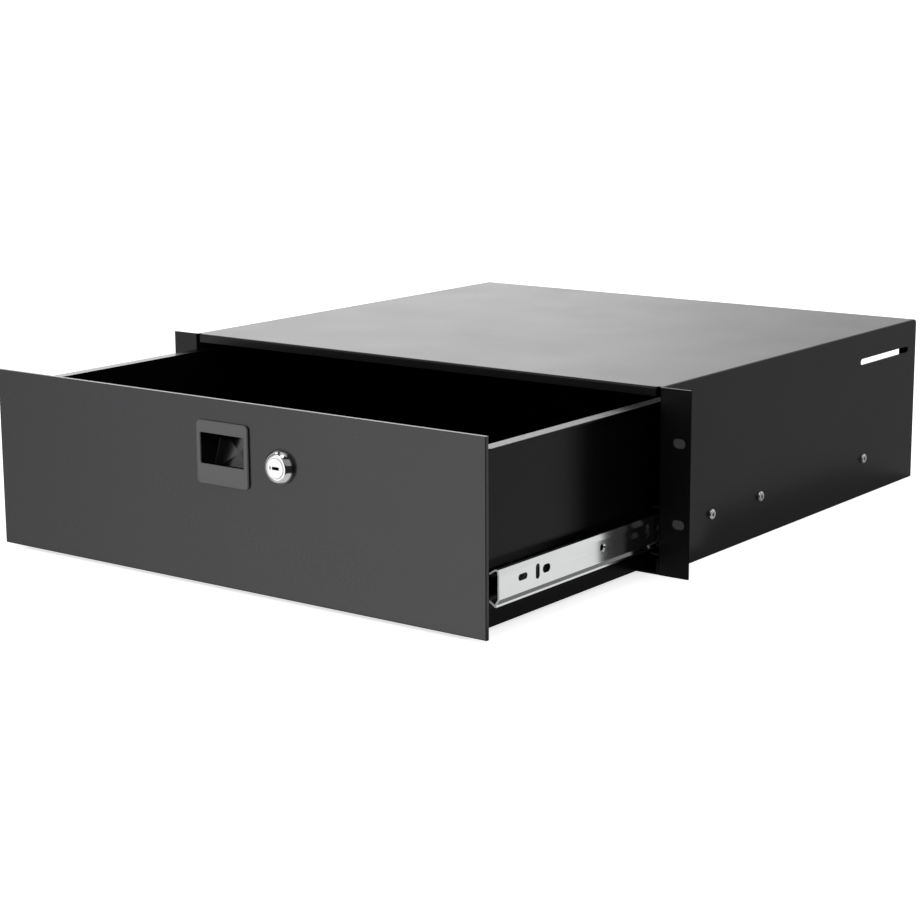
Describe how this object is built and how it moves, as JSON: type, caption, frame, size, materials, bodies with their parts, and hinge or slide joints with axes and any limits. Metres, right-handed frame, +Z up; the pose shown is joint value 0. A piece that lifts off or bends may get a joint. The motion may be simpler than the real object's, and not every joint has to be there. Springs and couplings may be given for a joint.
{
  "type": "sliding rack drawer",
  "caption": "Rack-mount drawer in a black folded-steel case with rack ears, on telescopic ball slides, with a recessed finger pull and a cam lock, standing part open.",
  "frame": {"origin": "centre of the rectangle of rack slots, on the front face of the ears", "axes": "+X to the right of a person facing the front, +Y from the front to the back, +Z up"},
  "size_m": [0.4826, 0.612, 0.1324],
  "materials": {
    "case_paint": "black powder coat, fine grain, satin",
    "drawer_paint": "black powder coat, fine grain, satin",
    "panel_paint": "black powder coat, fine grain, satin",
    "rail_zinc": "bright zinc plate, drawn lengthways",
    "cage_steel": "plain strip, lightly oiled",
    "ball_steel": "polished",
    "screw_zinc": "bright zinc plate",
    "stop_rubber": "matt",
    "pull_plastic": "black, satin, lightly grained",
    "lock_chrome": "polished",
    "cam_zinc": "zinc plate, stamped"
  },
  "bodies": {
    "case": {"case_shell": "case_paint", "base_plate": "case_paint", "right_outer_rail": "rail_zinc", "right_case_screws": "screw_zinc", "right_rail_stop": "stop_rubber", "left_outer_rail": "rail_zinc", "left_case_screws": "screw_zinc", "left_rail_stop": "stop_rubber"},
    "middle_rails": {"right_middle_rail": "rail_zinc", "left_middle_rail": "rail_zinc"},
    "drawer": {"tray_pan": "drawer_paint", "front_panel": "panel_paint", "panel_studs": "screw_zinc", "panel_nuts": "screw_zinc", "right_tray_side": "drawer_paint", "right_inner_rail": "rail_zinc", "right_tray_screws": "screw_zinc", "right_clinch_nuts": "screw_zinc", "left_tray_side": "drawer_paint", "left_inner_rail": "rail_zinc", "left_tray_screws": "screw_zinc", "left_clinch_nuts": "screw_zinc", "finger_pull": "pull_plastic", "pull_clips": "screw_zinc", "lock_housing": "lock_chrome", "lock_nut": "screw_zinc"},
    "lock_core": {"lock_plug": "lock_chrome", "lock_cam": "cam_zinc", "cam_screw": "screw_zinc"},
    "outer_cages": {"right_outer_cage": "cage_steel", "right_outer_balls": "ball_steel", "left_outer_cage": "cage_steel", "left_outer_balls": "ball_steel"},
    "inner_cages": {"right_inner_cage": "cage_steel", "right_inner_balls": "ball_steel", "left_inner_cage": "cage_steel", "left_inner_balls": "ball_steel"}
  },
  "joints": [
    {"name": "middle_slide", "type": "slide", "parent": "case", "child": "middle_rails", "axis": [0, -1, 0], "range_m": [-0.2025, 0]},
    {"name": "drawer_slide", "type": "slide", "parent": "middle_rails", "child": "drawer", "axis": [0, -1, 0], "range_m": [0, 0.15]},
    {"name": "lock_turn", "type": "hinge", "parent": "drawer", "child": "lock_core", "pos_m": [0.053, -0.206, 0.02615], "axis": [0, -1, 0], "range_deg": [0, 90]},
    {"name": "outer_cage_roll", "type": "slide", "parent": "case", "child": "outer_cages", "axis": [0, -1, 0], "range_m": [-0.10125, 0]},
    {"name": "inner_cage_roll", "type": "slide", "parent": "middle_rails", "child": "inner_cages", "axis": [0, -1, 0], "range_m": [0, 0.075]}
  ],
  "couplings": [
    {"joint": "outer_cage_roll", "follows": "middle_slide", "ratio": 0.5},
    {"joint": "inner_cage_roll", "follows": "drawer_slide", "ratio": 0.5}
  ]
}
